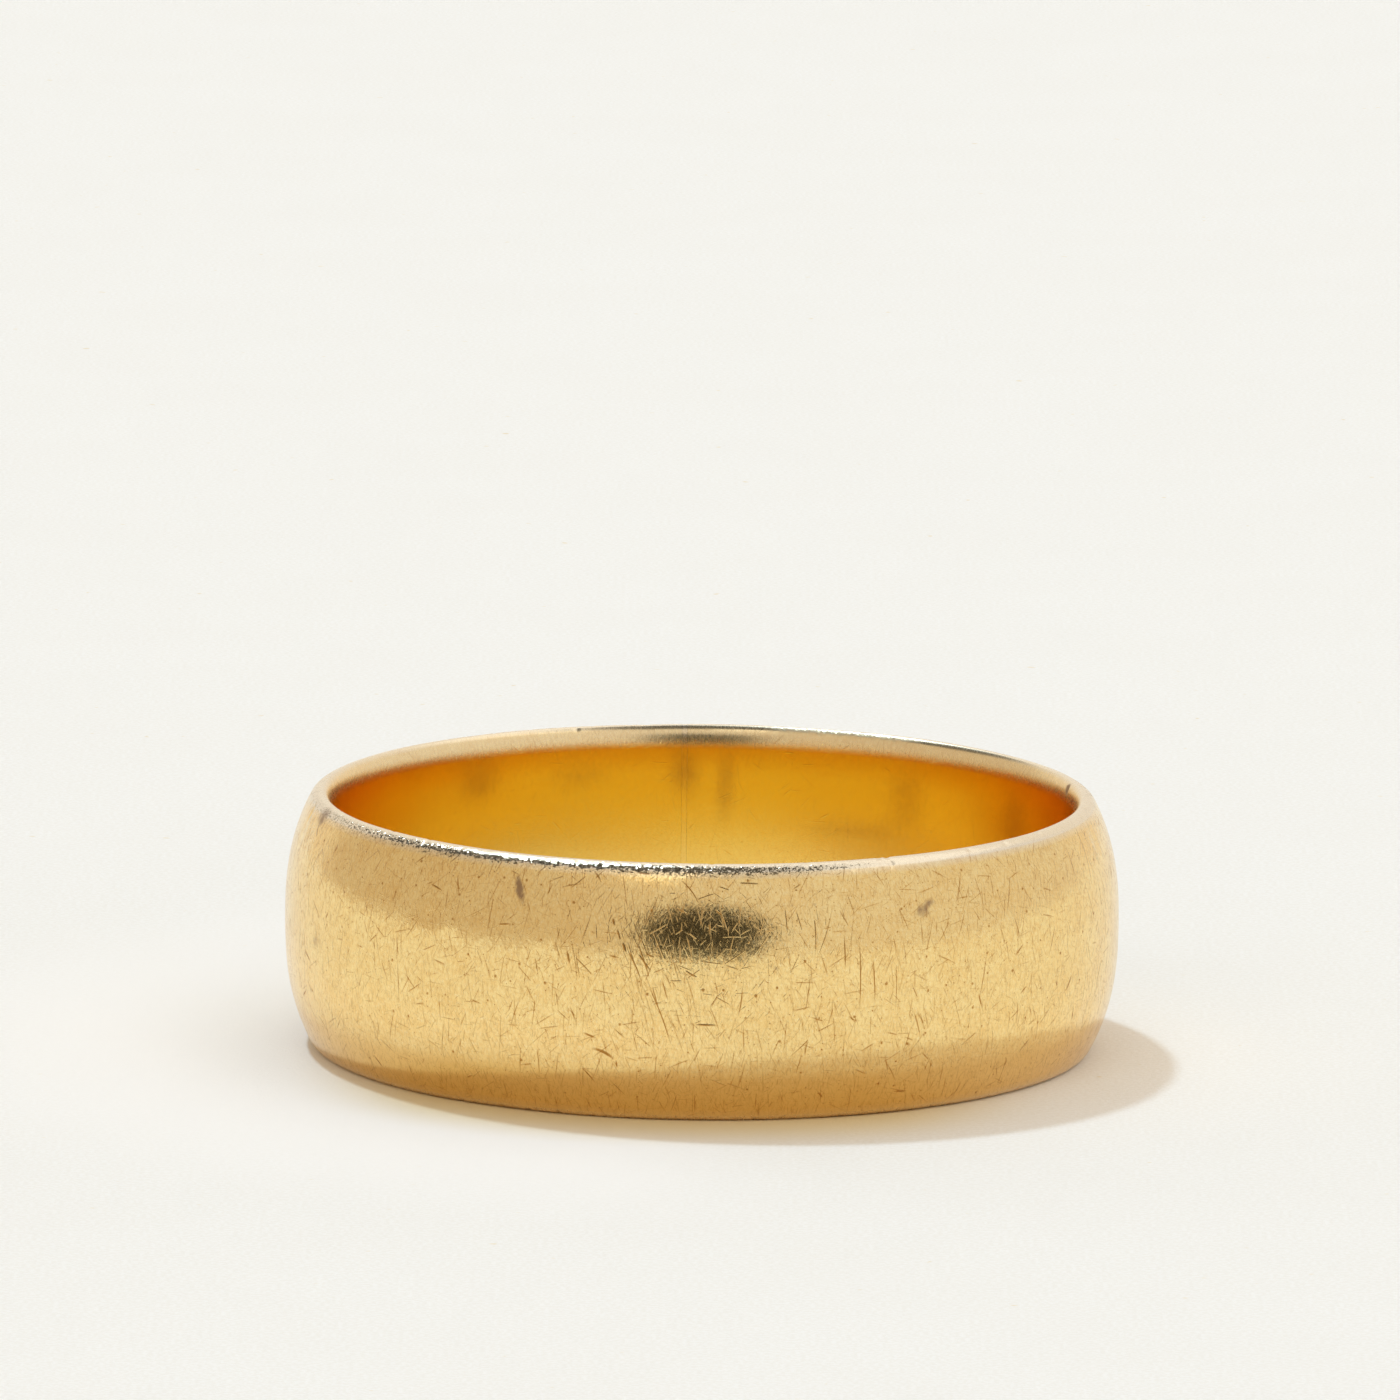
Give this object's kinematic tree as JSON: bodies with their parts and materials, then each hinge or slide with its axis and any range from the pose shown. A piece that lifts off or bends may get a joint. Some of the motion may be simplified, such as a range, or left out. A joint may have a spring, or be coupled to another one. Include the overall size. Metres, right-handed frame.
{
  "type": "wedding band",
  "caption": "Plain half-round finger ring: a smooth domed gold band with rounded lips and a flat bore, joined by a flush solder seam.",
  "frame": {"origin": "centre of the edge that the ring lies on, on its axis", "axes": "+Z along the ring's axis, up when it lies on its edge; +Y towards the back, and +X to the right seen from the front; the solder seam is at the back, 3 degrees to the left of +Y"},
  "size_m": [0.0196, 0.0196, 0.006],
  "materials": {
    "gold": "yellow gold, once polished, now softened by dense fine scratches, small pits and a little tarnish",
    "solder": "hard gold solder, slightly paler than the band, filed and polished flush"
  },
  "bodies": {
    "root": {"band": "gold", "solder_seam": "solder"}
  },
  "joints": []
}
